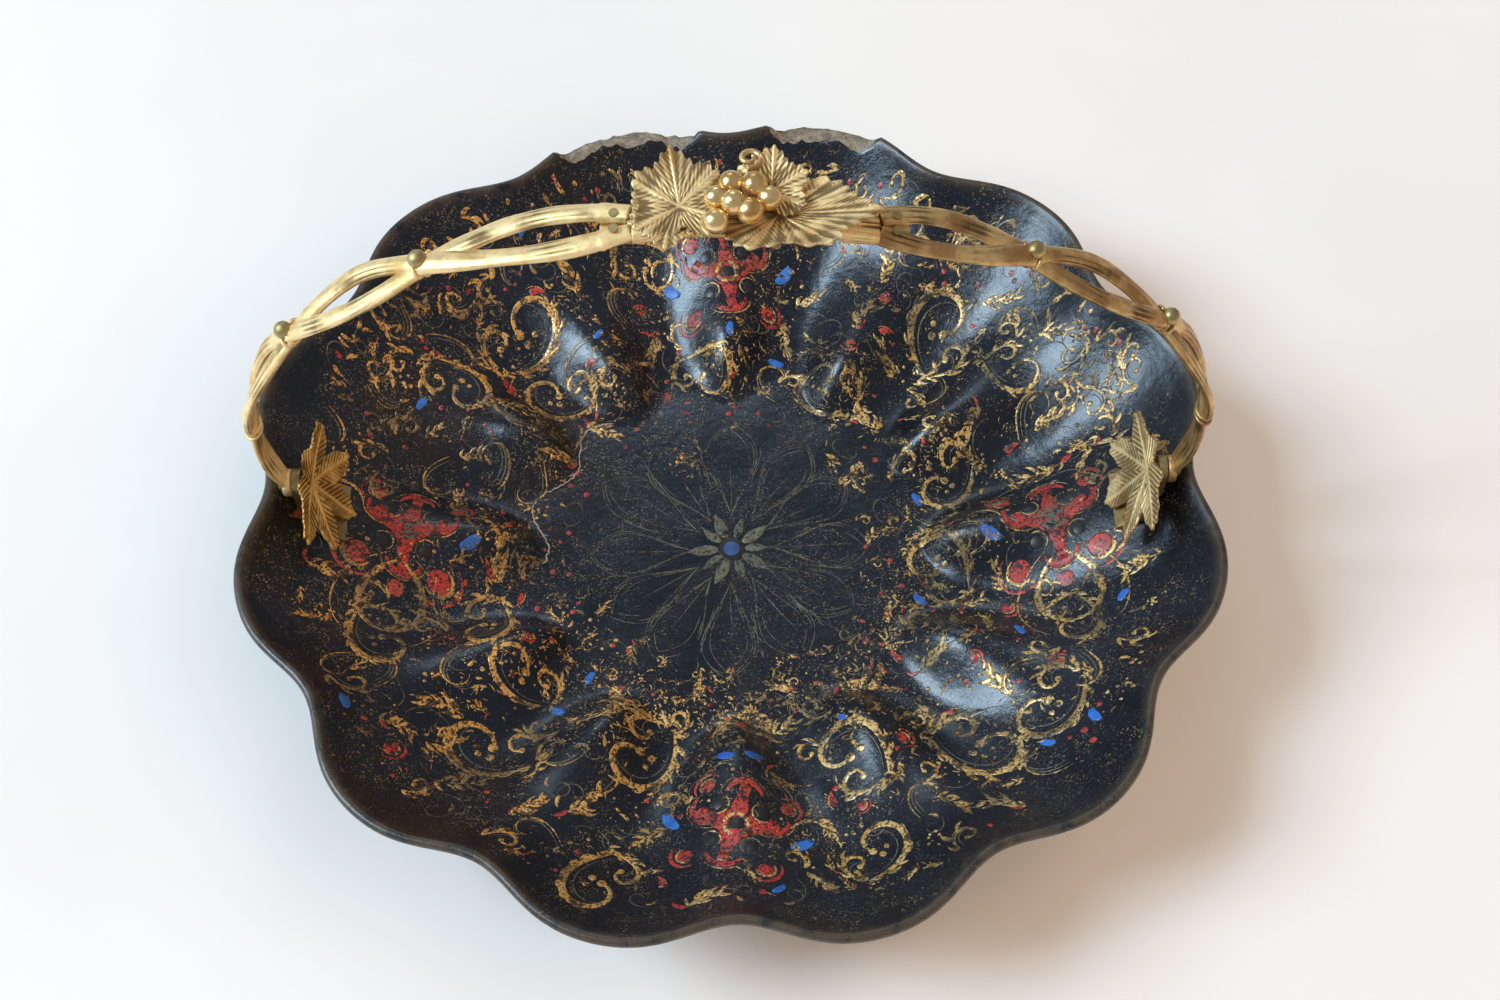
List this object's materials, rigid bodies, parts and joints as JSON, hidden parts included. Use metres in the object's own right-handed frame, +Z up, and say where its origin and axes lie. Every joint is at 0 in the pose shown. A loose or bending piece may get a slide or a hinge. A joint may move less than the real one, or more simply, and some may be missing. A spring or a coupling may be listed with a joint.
{
  "type": "handled dish",
  "caption": "Scalloped lacquered dish for bread, cake or fruit, carried by an arched openwork brass handle that swings on brackets inside the rim.",
  "frame": {"origin": "centre of the dish's flat base, in the plane it stands on", "axes": "+Z up; X runs through both hinge pins, +X to the right as the dish is seen from the front; +Y to the back"},
  "size_m": [0.3008, 0.3008, 0.181],
  "materials": {
    "black_lacquer": "aged black lacquer over papier-mache, painted in gold, red and blue",
    "pale_gilt_brass": "cast brass with worn pale gilding",
    "dark_gilt_brass": "cast brass, browned and tarnished",
    "plain_brass": "dull brass"
  },
  "bodies": {
    "dish": {"dish_shell": "black_lacquer", "left_hinge_bracket": "plain_brass", "right_hinge_bracket": "plain_brass", "left_leaf_plate": "dark_gilt_brass", "right_leaf_plate": "pale_gilt_brass", "left_wall_rivets": "plain_brass", "right_wall_rivets": "plain_brass", "left_backing_plate": "plain_brass", "right_backing_plate": "plain_brass", "left_hinge_pin": "plain_brass", "right_hinge_pin": "plain_brass"},
    "handle": {"left_arm": "pale_gilt_brass", "right_arm": "dark_gilt_brass", "left_bud_studs": "pale_gilt_brass", "right_bud_studs": "dark_gilt_brass", "centre_stem": "pale_gilt_brass", "left_joint_rivets": "plain_brass", "right_joint_rivets": "plain_brass", "back_left_leaf": "pale_gilt_brass", "front_left_leaf": "pale_gilt_brass", "back_right_leaf": "pale_gilt_brass", "front_right_leaf": "pale_gilt_brass", "grape_cluster": "dark_gilt_brass", "tendril": "pale_gilt_brass"}
  },
  "joints": [
    {"name": "handle_swing", "type": "hinge", "parent": "dish", "child": "handle", "pos_m": [0, 0, 0.048], "axis": [1, 0, 0], "range_deg": [-80, 80]}
  ]
}
